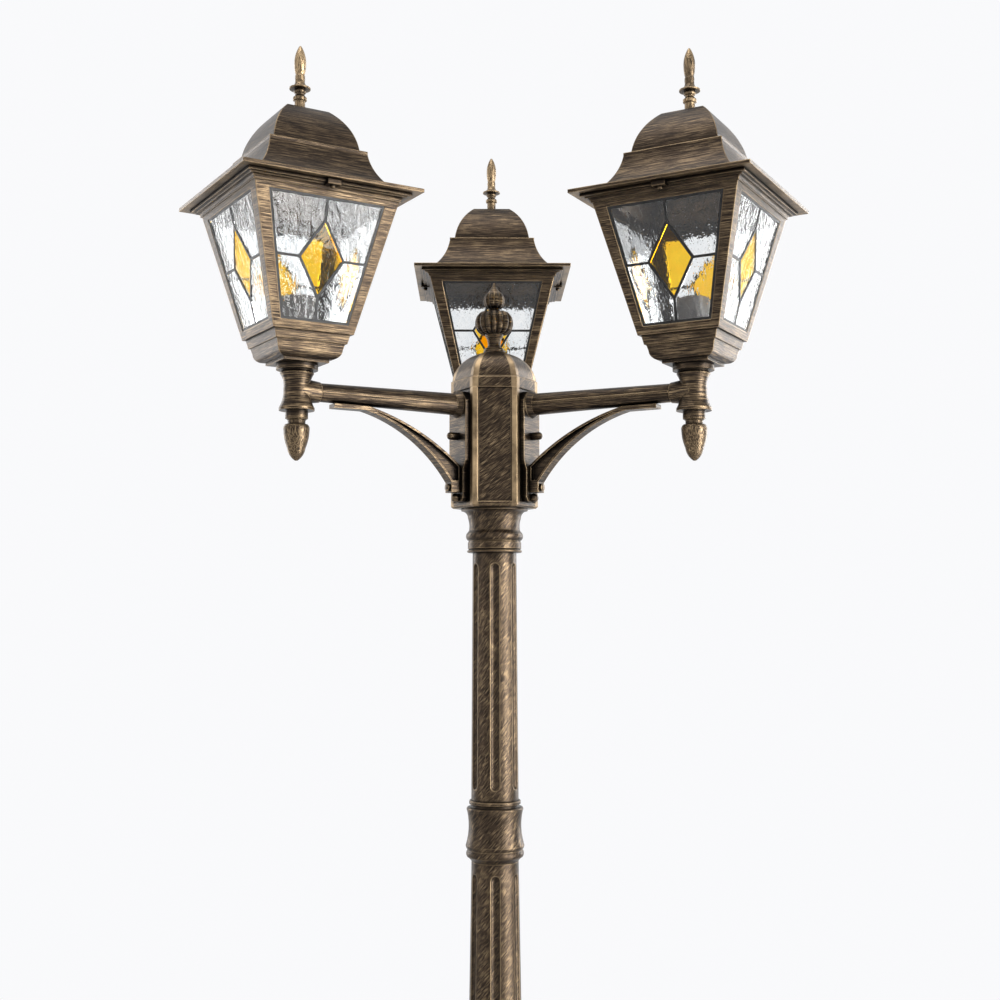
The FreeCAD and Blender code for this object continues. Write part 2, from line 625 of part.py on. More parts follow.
def cup():
    """The square, stepped cup under the frame."""
    z = SPINDLE_TOP_Z
    h = CUP_TOP_HALF
    b = CUP_BOTTOM_HALF
    top = FRAME_Z
    outer = sided(4, (b, z), (b, z + 3.0), (h - 8.0, z + 6.0, h - 5.6, z + 12.0), (h - 3.8, z + 18.4),
                  (h - 2.1, z + 18.4), (h, top))
    w = CUP_WALL
    inner = sided(4, (b - w, z + w), (h - 9.0 - w, z + 8.5, h - 6.5 - w, z + 14.0), (h - w, top))
    return outer.cut(inner).cut(rod(NIPPLE_RADIUS + FIT, 2 * w, Vector(0, 0, z)))


def on_face(shape, side):
    """Lays a shape drawn with Y across, Z up the face and X outwards onto one of the four faces."""
    copy = shape.copy()
    copy.rotate(ORIGIN, Vector(0, 1, 0), math.degrees(FACE_SLOPE))
    copy.translate(Vector(FRAME_BOTTOM_HALF, 0, FRAME_Z))
    copy.rotate(ORIGIN, UP, 90.0 * side)
    return copy


def slab(points, depth, thick):
    """A flat piece of (across, up) points, its front a depth behind the face."""
    wire = Part.makePolygon([Vector(-depth - thick, y, z) for y, z in points + points[:1]])
    return Part.Face(wire).extrude(Vector(thick, 0, 0))


def window(inset):
    """The corners of a face's opening, drawn in by an inset."""
    low = BORDER_BOTTOM
    high = FACE_LENGTH - BORDER_TOP
    half_low = FRAME_BOTTOM_HALF + low * math.sin(FACE_SLOPE) - POST_FACE_BOTTOM
    half_high = FRAME_BOTTOM_HALF + high * math.sin(FACE_SLOPE) - POST_FACE_TOP
    lean = (half_high - half_low) / (high - low)
    a = half_low + lean * inset - inset * math.hypot(1, lean)
    b = half_high - lean * inset - inset * math.hypot(1, lean)
    return [(-a, low + inset), (a, low + inset), (b, high - inset), (-b, high - inset)]


def diamond(grow):
    half = DIAMOND_WIDTH / 2
    tall = DIAMOND_HEIGHT / 2
    edge = math.hypot(half, tall)
    middle = DIAMOND_BASE + tall
    return [(half + grow * edge / tall, middle), (0, middle + tall + grow * edge / half),
            (-half - grow * edge / tall, middle), (0, middle - tall - grow * edge / half)]


def corner_cells(gap, depth, thick):
    """The four clear cells of a face, each a gap inside its lead."""
    field = slab(window(CAME_WIDTH + gap), depth, thick).cut(
        slab(diamond(CAME_WIDTH / 2 + gap), depth, thick))
    half = CAME_WIDTH / 2 + gap
    middle = DIAMOND_BASE + DIAMOND_HEIGHT / 2
    reach = 2 * FACE_LENGTH
    cells = []
    for side in (-1, 1):
        for z in (middle + half, middle - half - reach):
            y = half if side > 0 else -half - reach
            block = Part.makeBox(2 * thick + depth, reach, reach, Vector(-depth - 1.5 * thick, y, z))
            cells += field.common(block).Solids
    return cells


def amber_pane(gap, depth, thick):
    return slab(diamond(gap - CAME_WIDTH / 2), depth, thick)


def came():
    """The lead of one face: a border, a diamond and the four bars that hold it."""
    lead = slab(window(FIT), CAME_DEPTH, CAME_THICK)
    for cell in corner_cells(0, CAME_DEPTH, CAME_THICK) + [amber_pane(0, CAME_DEPTH, CAME_THICK)]:
        lead = lead.cut(cell)
    return lead


def whole_frame():
    """The tapered cage: corner posts, rails, a floor and the moulding under the roof."""
    top = FRAME_TOP_Z
    wall = FRAME_WALL / math.cos(FACE_SLOPE)
    shell = sided(4, (FRAME_BOTTOM_HALF, FRAME_Z), (FRAME_TOP_HALF, top))
    floor_half = FRAME_BOTTOM_HALF + FRAME_FLOOR * math.tan(FACE_SLOPE) - wall
    body = shell.cut(sided(4, (floor_half, FRAME_Z + FRAME_FLOOR), (FRAME_TOP_HALF - wall, top)))
    for side in range(4):
        body = body.cut(on_face(slab(window(0), -FRAME_WALL, 4 * FRAME_WALL), side))
    m = FRAME_TOP_HALF
    out = FRAME_MOULDING_OUT
    rim_top = top + FRAME_MOULDING_HEIGHT
    rim = sided(4, (m, top), (m + 1.5, top), (m + 2.5, top + 3.0, m + 6.0, top + 4.0), (m + 6.0, top + 5.0),
                (m + out, top + 5.5), (m + out, rim_top))
    rim = rim.cut(sided(4, (m - wall, top), (m - wall, rim_top)))
    lugs = [Part.makeBox(2 * LUG_HALF, LUG_OUT - m, LUG_THICK, Vector(-LUG_HALF, y, rim_top - LUG_THICK))
            for y in (m, -LUG_OUT)]
    body = body.fuse([rim] + lugs).removeSplitter()
    for side in (-1, 1):
        start = Vector(0, side * SCREW_OUT, rim_top - 3 * LUG_THICK)
        body = body.cut(rod(SCREW_RADIUS + RUNNING, 4 * LUG_THICK, start))
    return body.cut(rod(NIPPLE_RADIUS + FIT, 2 * FRAME_FLOOR, Vector(0, 0, FRAME_Z)))


def frame():
    """The cage as it is cast: four sides that meet at mitred corners, on a floor plate."""
    cage = whole_frame()
    reach = 2 * FRAME_TOP_HALF
    height = FRAME_HEIGHT + FRAME_MOULDING_HEIGHT - FRAME_FLOOR
    wedge = plate([(0, 0), (reach, -reach), (reach, reach)], height, FRAME_Z + FRAME_FLOOR)
    sides = [cage.common(part) for part in around(wedge, 4)]
    floor = cage.common(Part.makeBox(2 * reach, 2 * reach, FRAME_FLOOR, Vector(-reach, -reach, FRAME_Z)))
    return sides + [floor]


def lamp_holder():
    """The insulating body of the screw lamp holder."""
    z = HOLDER_Z
    r = HOLDER_RADIUS
    top = z + HOLDER_HEIGHT
    bore = LAMP_BORE_RADIUS + SHELL_THICK + FIT
    return turned(
        (NIPPLE_RADIUS + FIT, z), (r - 3.0, z), (r - 1.0, z + 6.0), (r, z + 8.0),
        (r, top - 1.0), (r - 1.0, top),
        (bore, top), (bore, top - LAMP_BORE_DEPTH), (NIPPLE_RADIUS + FIT, top - LAMP_BORE_DEPTH))


def screw_shell():
    """The threaded sleeve inside a lamp holder."""
    r = LAMP_BORE_RADIUS
    top = HOLDER_Z + HOLDER_HEIGHT - 1.0
    low = HOLDER_Z + HOLDER_HEIGHT - LAMP_BORE_DEPTH
    out = r + SHELL_THICK
    return turned((r, low + 1.2), (r, top), (out, top), (out, low), (4.0, low), (4.0, low + 1.2))


def roof():
    """The swept roof: flat eave, hollow ogee, shoulder and swelling dome."""
    z = ROOF_Z
    e = EAVE_HALF
    lip = z + EAVE_LIP
    o = ROOF_OGEE_HALF
    s = ROOF_SHOULDER_HALF
    d = ROOF_DOME_HALF
    p = ROOF_PLATE_HALF
    ledge = z + ROOF_OGEE_HEIGHT
    top = ROOF_PLATE_Z
    w = ROOF_WALL
    outer = sided(4, (e, z), (e, lip), (o, lip),
                  ((o + s) / 2 - 4.0, (lip + ledge) / 2 - 3.0, s, ledge - 3.4),
                  (s, ledge), (d, ledge), ((d + p) / 2 + 4.6, (ledge + top) / 2 + 2.0, p, top))
    inner = sided(4, (o - w, z), (o - w - 1.0, z + 1.6),
                  ((o + s) / 2 - 4.0 - 1.3 * w, (lip + ledge) / 2 - 4.0, s - 1.2 * w, ledge - 3.4 - w),
                  (d - w, ledge - w),
                  ((d + p) / 2 + 4.6 - w, (ledge + top) / 2 + 1.0, p - w, top - 1.4 * w))
    body = outer.cut(inner).cut(rod(STUD_RADIUS + FIT, 4 * w, Vector(0, 0, top - 3 * w)))
    for side in (-1, 1):
        body = body.cut(rod(SCREW_RADIUS + RUNNING, 4 * EAVE_LIP, Vector(0, side * SCREW_OUT, z - EAVE_LIP)))
    return body


def roof_finial():
    """The spear on a bell and a ball, with the stud that screws into the roof."""
    z = ROOF_PLATE_Z
    s = STUD_RADIUS
    return turned(
        (0, z - STUD_LENGTH), (s, z - STUD_LENGTH), (s, z), (7.4, z), (5.5, z + 3.0), (5.5, z + 14.0),
        (7.15, z + 15.0), (7.15, z + 18.0), (4.9, z + 20.0), (4.9, z + 22.0),
        (6.5, z + 24.5, 6.0, z + 26.6), (11.0, z + 27.0),
        (11.0, z + 28.4), (6.2, z + 31.5, 5.2, z + 37.2), (5.2, z + 41.0), (4.6, z + 42.2),
        (5.6, z + 47.0, 6.1, z + 53.8), (4.9, z + 64.5, 1.0, z + FINIAL_HEIGHT), (0, z + FINIAL_HEIGHT))


def roof_screw(side):
    """The retaining screw, captive in the roof's eave."""
    seat = ROOF_Z + EAVE_LIP + SCREW_LIFT
    low = FRAME_TOP_Z + FRAME_MOULDING_HEIGHT - LUG_THICK - 3.0
    r = SCREW_RADIUS
    h = SCREW_HEAD_RADIUS
    screw = turned((0, low), (r - 0.8, low), (r, low + 0.8), (r, seat), (h, seat), (h, seat + 1.0),
                   (0.8 * h, seat + SCREW_HEAD_HEIGHT - 0.6, 0.4 * h, seat + SCREW_HEAD_HEIGHT),
                   (0, seat + SCREW_HEAD_HEIGHT))
    slot = Part.makeBox(2 * h + 2, 0.9, 1.1, Vector(-h - 1, -0.45, seat + SCREW_HEAD_HEIGHT - 1.1))
    screw = screw.cut(slot)
    screw.translate(Vector(0, side * SCREW_OUT, 0))
    return screw


# ---------------------------------------------------------------- all of it

def save_post():
    save("foot", [foot_plate(), foot_bell()])
    save("pedestal", pedestal())
    save("column_low", column(COLUMN_LOW_Z, COLUMN_LOW_HEIGHT, COLUMN_LOW_RADII))
    save("column_mid", column(COLUMN_MID_Z, COLUMN_MID_HEIGHT, COLUMN_MID_RADII))
    save("column_top", column(COLUMN_TOP_Z, COLUMN_TOP_HEIGHT, COLUMN_TOP_RADII))
    save("joint_ring_low", joint_ring(RING_LOW_Z, COLUMN_MID_RADII, COLUMN_MID_HEIGHT, COLUMN_LOW_RADII))
    save("joint_ring_top", joint_ring(RING_TOP_Z, COLUMN_TOP_RADII, COLUMN_TOP_HEIGHT, COLUMN_MID_RADII))
    save("collar", collar())
    save("hex_head", hex_head())
    save("head_cap", head_cap())
    save("ornament", ornament())
    save("tie_rod", tie_rod())
    save("rod_anchor_bar", anchor_bar())


def save_shared():
    """The small pieces that are alike on all three arms, one file for each kind."""
    bolts = [arm_bolt(UPPER_BOLT_Z, 4.2, 9.0), arm_bolt(LOWER_BOLT_Z, 4.8, 3.0)]
    nuts = [arm_nut(UPPER_BOLT_Z), arm_nut(LOWER_BOLT_Z)]
    save("arm_bolts", [along_arm(bolt, angle) for angle in HEADS.values() for bolt in bolts])
    save("arm_nuts", [along_arm(nut, angle) for angle in HEADS.values() for nut in nuts])
    save("brace_screws", [along_arm(brace_screw(), angle) for angle in HEADS.values()])
    save("nipples", [at_head(nipple(), angle) for angle in HEADS.values()])
    save("screw_shells", [at_head(screw_shell(), angle) for angle in HEADS.values()])


def save_lanterns():
    glass_depth = CAME_DEPTH + (CAME_THICK - GLASS_THICK) / 2
    cells = corner_cells(GLASS_GAP, glass_depth, GLASS_THICK)
    clear = [on_face(cell, side) for side in range(4) for cell in cells]
    amber = [on_face(amber_pane(-GLASS_GAP, glass_depth, GLASS_THICK), side) for side in range(4)]
    lead = [on_face(came(), side) for side in range(4)]
    pieces = {
        "cup": [cup()], "frame": frame(), "lamp_holder": [lamp_holder()], "roof": [roof()],
        "roof_finial": [roof_finial()], "roof_screw_a": [roof_screw(1)], "roof_screw_b": [roof_screw(-1)],
        "spindle": [spindle()], "acorn": [acorn()],
        "clear_panes": clear, "amber_panes": amber, "lead_came": lead,
    }
    for head, angle in HEADS.items():
        for name, solids in pieces.items():
            save(name + "_" + head, [at_head(solid, angle) for solid in solids])
        save("arm_" + head, along_arm(arm(), angle))
        save("brace_" + head, along_arm(brace(), angle))


os.makedirs("parts", exist_ok=True)
save_post()
save_shared()
save_lanterns()
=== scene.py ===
import bpy
import math
from mathutils import Matrix, Vector


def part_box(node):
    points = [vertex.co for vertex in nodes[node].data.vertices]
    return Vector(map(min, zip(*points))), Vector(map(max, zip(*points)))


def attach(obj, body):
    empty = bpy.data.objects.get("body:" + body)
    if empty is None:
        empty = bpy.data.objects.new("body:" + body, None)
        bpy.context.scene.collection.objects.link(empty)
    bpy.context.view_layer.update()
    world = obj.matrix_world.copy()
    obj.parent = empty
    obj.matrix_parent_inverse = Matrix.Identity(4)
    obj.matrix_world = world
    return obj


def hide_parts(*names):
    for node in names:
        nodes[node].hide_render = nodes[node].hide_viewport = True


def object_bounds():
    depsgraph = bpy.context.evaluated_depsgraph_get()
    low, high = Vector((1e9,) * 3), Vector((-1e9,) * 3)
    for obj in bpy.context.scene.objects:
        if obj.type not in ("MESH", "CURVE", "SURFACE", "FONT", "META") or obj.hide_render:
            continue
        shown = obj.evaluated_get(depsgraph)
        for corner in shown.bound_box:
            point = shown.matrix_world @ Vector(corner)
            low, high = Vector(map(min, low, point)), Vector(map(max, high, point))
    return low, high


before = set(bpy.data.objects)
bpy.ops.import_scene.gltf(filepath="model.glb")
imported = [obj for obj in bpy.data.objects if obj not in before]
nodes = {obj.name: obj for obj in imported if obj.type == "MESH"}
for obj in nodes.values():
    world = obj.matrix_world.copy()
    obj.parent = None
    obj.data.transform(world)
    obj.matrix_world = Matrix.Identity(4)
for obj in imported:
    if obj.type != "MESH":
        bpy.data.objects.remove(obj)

cadBounds = [list(map(float, corner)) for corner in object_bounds()]
print("frame loaded:", len(nodes), "nodes")


# Helpers for node trees. A node's place is where it stands in the node editor,
# and an input is linked if it gets a socket, or else set.

def newMaterial(name):
    material = bpy.data.materials.new(name)
    material.use_nodes = True
    tree = material.node_tree
    return material, tree, tree.nodes["Principled BSDF"]


def feed(tree, socket, value):
    if isinstance(value, bpy.types.NodeSocket):
        tree.links.new(value, socket)
    else:
        socket.default_value = value


def addNode(tree, kind, place, inputs=None, **settings):
    node = tree.nodes.new(kind)
    node.location = place
    for key, value in settings.items():
        setattr(node, key, value)
    for key, value in (inputs or {}).items():
        feed(tree, node.inputs[key], value)
    return node


def mathNode(tree, operation, place, first, second):
    inputs = {0: first, 1: second}
    return addNode(tree, "ShaderNodeMath", place, inputs, operation=operation).outputs[0]


def mixColor(tree, place, factor, first, second):
    inputs = {0: factor, 6: first, 7: second}
    return addNode(tree, "ShaderNodeMix", place, inputs, data_type="RGBA").outputs[2]


def remap(tree, place, value, low, high, newLow=0.0, newHigh=1.0):
    inputs = {0: value, 1: low, 2: high, 3: newLow, 4: newHigh}
    return addNode(tree, "ShaderNodeMapRange", place, inputs, clamp=True).outputs[0]


def noise(tree, place, vector, values):
    return addNode(tree, "ShaderNodeTexNoise", place, {"Vector": vector, **values}).outputs["Fac"]


def objectPlace(tree, place):
    return addNode(tree, "ShaderNodeTexCoord", place).outputs["Object"]


# the three inputs that every finish drives
def dress(tree, shader, color, rough, bump):
    feed(tree, shader.inputs["Base Color"], color)
    feed(tree, shader.inputs["Roughness"], rough)
    feed(tree, shader.inputs["Normal"], bump.outputs[0])


# Antique bronze: dark brown with gold rubbed on in strokes and along the edges.
# In a range, two numbers are the levels where a thing starts and is full, and the
# next two, if there are any, are the values it goes from and to.

bronze = {
    "dark": (0.011, 0.008, 0.006, 1),
    "brown": (0.046, 0.030, 0.019, 1),
    "gold": (0.47, 0.335, 0.19, 1),
    "brownRange": (0.38, 0.60),
    "metallic": 0.86,
    "roughness": (0.3, 0.7, 0.27, 0.46),
    "strokeFine": 2100.0,  # how fast the strokes change across, per metre
    "strokeLong": 100.0,  # and along, for slanting and upright ones
    "levelLong": 42.0,  # and for level ones
    "slant": math.radians(-50),
    "columnRadius": 0.026,  # the slanting strokes are wound round this
    "brush": {"Scale": 1.0, "Detail": 5.0, "Roughness": 0.62, "Distortion": 0.25},
    "patches": {"Scale": 38.0, "Detail": 4.0, "Roughness": 0.6},
    "grain": {"Scale": 900.0, "Detail": 3.0, "Roughness": 0.7},
    "strokeStart": 0.56,  # noise level where a stroke's gold starts
    "strokeFull": 0.67,
    "strokeShift": 0.10,  # how far goldness lowers both
    "goldLeast": 0.45,
    "goldGain": 0.55,
    "patchRange": (0.34, 0.66, 0.25, 1.0),
    "edgeWidth": 0.0016,
    "edgeSamples": 4,
    "edgeTurn": (0.995, 0.86),  # cosine between the face and its rounded edge
    "edgePatches": (0.30, 0.60),
    "edgeLeast": 0.60,
    "ribEvery": math.radians(60),  # the head's corners
    "ribAngle": math.radians(6.8),
    "ribBlur": 0.1,
    "ribGold": 0.85,
    "undersideTurn": (-0.6, -0.9),  # how far a face looks down, for the painted reflection under the eaves
    # painted shade: hollows found by ambient occlusion over this distance are darkened towards
    # black
    "cavity": 0.014,
    "cavitySamples": 6,
    "openRange": (0.52, 0.96),  # 1 is wholly open
    "hollow": (0, 0, 0, 1),
    "hollowLight": 0.22,  # what is left of the colour in a hollow under the painted shade
    "brushRelief": 0.7,
    "grainRelief": 0.4,
    "bump": {"Strength": 0.4, "Distance": 0.0003},
}

# how each group of castings is rubbed, and for the roofs how strong the painted reflection on
# their undersides is
bronzeFinishes = {
    "bronze_column": {"style": "slant", "goldness": 0.42, "edgeGold": 1.1},
    "bronze_head": {"style": "slant", "goldness": 0.45, "ribs": True},
    # the roofs also get gold on their undersides as painted reflection
    "bronze_roof": {"style": "level", "goldness": 0.55, "strength": 0.50, "edgeGold": 0.8,
                    "undersideReflection": 0.60},
    "bronze_frame": {"style": "level", "goldness": 0.60, "strength": 0.70},
    "bronze_cup": {"style": "level", "goldness": 0.60, "strength": 0.75},
    "bronze_turned": {"style": "level", "goldness": 0.60},
    "bronze_arm": {"style": "level", "goldness": 0.50, "strength": 0.75},
    "bronze_finial": {"style": "upright", "goldness": 1.35},
    "bronze_acorn": {"style": "upright", "goldness": 0.85, "strength": 0.85},
}


# Coordinates that change fast across the brush strokes and slowly along them.
def strokeVector(tree, place, style):
    fine, long, level = bronze["strokeFine"], bronze["strokeLong"], bronze["levelLong"]
    if style != "slant":
        stretch = {"level": (level, level, fine), "upright": (fine, fine, long)}[style]
        mapping = {"Vector": place, "Scale": stretch}
        return addNode(tree, "ShaderNodeMapping", (-900, 50), mapping).outputs[0]
    x, y, z = addNode(tree, "ShaderNodeSeparateXYZ", (-1700, 0), {0: place}).outputs
    turn = mathNode(tree, "ARCTAN2", (-1500, 100), y, x)
    side = mathNode(tree, "MULTIPLY", (-1350, 100), turn, bronze["columnRadius"])
    c = math.cos(bronze["slant"])
    s = math.sin(bronze["slant"])
    across = mathNode(tree, "ADD", (-1050, 150),
                      mathNode(tree, "MULTIPLY", (-1200, 200), z, c),
                      mathNode(tree, "MULTIPLY", (-1200, 100), side, s))
    along = mathNode(tree, "SUBTRACT", (-1050, -50),
                     mathNode(tree, "MULTIPLY", (-1200, 0), side, c),
                     mathNode(tree, "MULTIPLY", (-1200, -100), z, s))
    scaled = {0: mathNode(tree, "MULTIPLY", (-900, 150), across, fine),
              1: mathNode(tree, "MULTIPLY", (-900, -50), along, long)}
    return addNode(tree, "ShaderNodeCombineXYZ", (-750, 50), scaled).outputs[0]


# Gold along the edges, where the rounded normal turns away from the face's own.
def edgeRub(tree, bevel, surface, patches, edgeGold):
    same = addNode(tree, "ShaderNodeVectorMath", (-700, -550),
                   {0: bevel.outputs[0], 1: surface.outputs["Normal"]}, operation="DOT_PRODUCT")
    edge = remap(tree, (-500, -550), same.outputs["Value"], *bronze["edgeTurn"])
    broken = remap(tree, (-500, -750), patches, *bronze["edgePatches"],
                   bronze["edgeLeast"], edgeGold)
    return mathNode(tree, "MULTIPLY", (-300, -550), edge, broken)


# Gold down the corners of the hexagonal head.
def ribRub(tree, place, patchGold):
    x, y = addNode(tree, "ShaderNodeSeparateXYZ", (-900, -900), {0: place}).outputs[:2]
    turn = mathNode(tree, "ARCTAN2", (-750, -900), y, x)
    fromCorner = mathNode(tree, "PINGPONG", (-600, -900), turn, bronze["ribEvery"] / 2)
    wide = bronze["ribAngle"]
    blur = bronze["ribBlur"]
    rib = remap(tree, (-450, -900), fromCorner, wide * (1 + blur), wide * (1 - blur),
                0.0, bronze["ribGold"])
    return mathNode(tree, "MULTIPLY", (-250, -900), rib, patchGold)


# Painted reflection: gold on the faces that look down, under the eaves, stands in for the light
# the white floor throws back up there.
def undersidePaintedReflection(tree, surface, patchGold, undersideReflection):
    split = addNode(tree, "ShaderNodeSeparateXYZ", (-700, -1200), {0: surface.outputs["Normal"]})
    below = remap(tree, (-500, -1200), split.outputs[2], *bronze["undersideTurn"], 0.0, undersideReflection)
    return mathNode(tree, "MULTIPLY", (-300, -1200), below, patchGold)


def makeBronze(name, style, goldness, strength=1.0, edgeGold=1.0, ribs=False, undersideReflection=0.0):
    material, tree, shader = newMaterial(name)
    place = objectPlace(tree, (-1900, 0))
    brush = noise(tree, (-500, 200), strokeVector(tree, place, style), bronze["brush"])
    patches = noise(tree, (-500, -50), place, bronze["patches"])
    grain = noise(tree, (-500, -300), place, bronze["grain"])
    bevel = addNode(tree, "ShaderNodeBevel", (-900, -500), {"Radius": bronze["edgeWidth"]},
                    samples=bronze["edgeSamples"])
    surface = addNode(tree, "ShaderNodeNewGeometry", (-900, -650))

    # gold in the strokes, then at the edges and the head's corners where it is rubbed on, and
    # gold as painted reflection on faces that look down
    shift = bronze["strokeShift"] * goldness
    strokeGold = remap(tree, (-300, 200), brush,
                       bronze["strokeStart"] - shift, bronze["strokeFull"] - shift)
    patchGold = remap(tree, (-300, -50), patches, *bronze["patchRange"])
    gold = mathNode(tree, "MULTIPLY", (-120, 150), strokeGold, patchGold)
    gold = mathNode(tree, "MULTIPLY", (20, 150), gold,
                    strength * (bronze["goldLeast"] + bronze["goldGain"] * goldness))
    gold = mathNode(tree, "MAXIMUM", (160, 50), gold,
                    edgeRub(tree, bevel, surface, patches, edgeGold))
    if ribs:
        gold = mathNode(tree, "MAXIMUM", (250, 50), gold, ribRub(tree, place, patchGold))
    # painted reflection: the faces that look down are lightened with gold
    if undersideReflection:
        gold = mathNode(tree, "MAXIMUM", (280, 50), gold,
                        undersidePaintedReflection(tree, surface, patchGold, undersideReflection))

    # painted shade in the hollows: they get less gold, and the colour is darkened towards black
    openness = addNode(tree, "ShaderNodeAmbientOcclusion", (-300, -1050),
                       {"Distance": bronze["cavity"]}, samples=bronze["cavitySamples"])
    openPart = remap(tree, (-100, -1050), openness.outputs["AO"], *bronze["openRange"])
    gold = mathNode(tree, "MULTIPLY", (300, -50), gold, openPart)
    browned = remap(tree, (-160, 400), brush, *bronze["brownRange"])
    under = mixColor(tree, (0, 400), browned, bronze["dark"], bronze["brown"])
    color = mixColor(tree, (340, 300), gold, under, bronze["gold"])
    # painted shade: the colour goes towards black as a hollow closes in
    shade = remap(tree, (300, -1050), openPart, 0.0, 1.0, bronze["hollowLight"], 1.0)
    color = mixColor(tree, (480, 300), shade, bronze["hollow"], color)

    rough = remap(tree, (160, -200), grain, *bronze["roughness"])
    height = mathNode(tree, "ADD", (160, -400),
                      mathNode(tree, "MULTIPLY", (0, -350), brush, bronze["brushRelief"]),
                      mathNode(tree, "MULTIPLY", (0, -480), grain, bronze["grainRelief"]))
    bump = addNode(tree, "ShaderNodeBump", (340, -350),
                   {"Height": height, "Normal": bevel.outputs[0], **bronze["bump"]})
    dress(tree, shader, color, rough, bump)
    shader.inputs["Metallic"].default_value = bronze["metallic"]
    return material


# Panes: rippled clear glass with small seeds in it, and cloudy amber glass.

glass = {
    "ior": 1.42,
    "transmission": 1.0,
    "rippleScale": (70.0, 70.0, 30.0),
    "waves": {"Scale": 1.6, "Detail": 2.5, "Roughness": 0.5, "Distortion": 1.4},
    "seedScale": 260.0,
    "seedRange": (0.05, 0.22, 0.25, 0.0),
    "roughness": (0.3, 0.7, 0.02, 0.07),
    "bumpStrength": 1.0,
    "clearTints": ((0.985, 0.99, 0.985, 1), (0.90, 0.92, 0.93, 1)),
    "clearRange": (0.35, 0.65),
    "clearDepth": 0.00055,
    "amberTints": ((1.0, 0.62, 0.022, 1), (1.0, 0.53, 0.012, 1)),
    "amberRange": (0.35, 0.7),
    "amberDepth": 0.00014,
    "amberCloud": {"Scale": 45.0, "Detail": 3.0},
}


def makeGlass(name, kind):
    material, tree, shader = newMaterial(name)
    place = objectPlace(tree, (-1300, 0))
    mapped = addNode(tree, "ShaderNodeMapping", (-1100, 0),
                     {"Vector": place, "Scale": glass["rippleScale"]})
    waves = noise(tree, (-900, 0), mapped.outputs[0], glass["waves"])
    seeds = addNode(tree, "ShaderNodeTexVoronoi", (-900, -300),
                    {"Vector": place, "Scale": glass["seedScale"]})
    seedDots = remap(tree, (-700, -300), seeds.outputs["Distance"], *glass["seedRange"])
    height = mathNode(tree, "ADD", (-500, -100), waves, seedDots)
    bump = addNode(tree, "ShaderNodeBump", (-300, -200),
                   {"Strength": glass["bumpStrength"], "Distance": glass[kind + "Depth"],
                    "Height": height})
    cloud = noise(tree, (-900, 300), place, glass["amberCloud"]) if kind == "amber" else waves
    tinted = remap(tree, (-700, 300), cloud, *glass[kind + "Range"])
    tint = mixColor(tree, (-500, 300), tinted, *glass[kind + "Tints"])
    rough = remap(tree, (-300, 100), waves, *glass["roughness"])
    dress(tree, shader, tint, rough, bump)
    shader.inputs["Transmission Weight"].default_value = glass["transmission"]
    shader.inputs["IOR"].default_value = glass["ior"]
    return material


# Plain metals and the lamp holders' glaze: cloudy colour, fine scratches, a little bump.

plain = {
    "cloudDetail": {"Detail": 5.0, "Roughness": 0.6},
    "cloudRange": (0.32, 0.68),
    "scratchScale": (90, 90, 900),
    "scratches": {"Scale": 1.0, "Detail": 3.0},
    "scratchRange": (0.3, 0.7),
    "bump": {"Strength": 0.25, "Distance": 0.0003},
}

plainFinishes = {
    "lead": {"light": (0.030, 0.029, 0.028, 1), "dark": (0.010, 0.010, 0.010, 1),
             "scale": 160.0, "roughness": (0.35, 0.55), "metallic": 0.6},
    "holder_glaze": {"light": (0.115, 0.105, 0.10, 1), "dark": (0.060, 0.055, 0.052, 1),
                     "scale": 60.0, "roughness": (0.35, 0.5), "metallic": 0.0},
    "zinc_steel": {"light": (0.60, 0.60, 0.58, 1), "dark": (0.42, 0.42, 0.40, 1),
                   "scale": 80.0, "roughness": (0.28, 0.42), "metallic": 1.0},
    "brass": {"light": (0.62, 0.44, 0.16, 1), "dark": (0.42, 0.29, 0.10, 1),
              "scale": 120.0, "roughness": (0.22, 0.38), "metallic": 1.0},
}


def makePlain(name, light, dark, scale, roughness, metallic):
    material, tree, shader = newMaterial(name)
    place = objectPlace(tree, (-1100, 0))
    cloud = noise(tree, (-800, 150), place, {"Scale": scale, **plain["cloudDetail"]})
    mapped = addNode(tree, "ShaderNodeMapping", (-950, -150),
                     {"Vector": place, "Scale": plain["scratchScale"]})
    scratches = noise(tree, (-750, -150), mapped.outputs[0], plain["scratches"])
    clouded = remap(tree, (-500, 150), cloud, *plain["cloudRange"])
    color = mixColor(tree, (-300, 150), clouded, light, dark)
    rough = remap(tree, (-500, -50), scratches, *plain["scratchRange"], *roughness)
    bump = addNode(tree, "ShaderNodeBump", (-300, -250), {"Height": scratches, **plain["bump"]})
    dress(tree, shader, color, rough, bump)
    shader.inputs["Metallic"].default_value = metallic
    return material


materials = {name: makeBronze(name, **finish) for name, finish in bronzeFinishes.items()}
for kind in ("clear", "amber"):
    materials[kind + "_glass"] = makeGlass(kind + "_glass", kind)
for name, finish in plainFinishes.items():
    materials[name] = makePlain(name, **finish)
print("materials made:", len(materials))

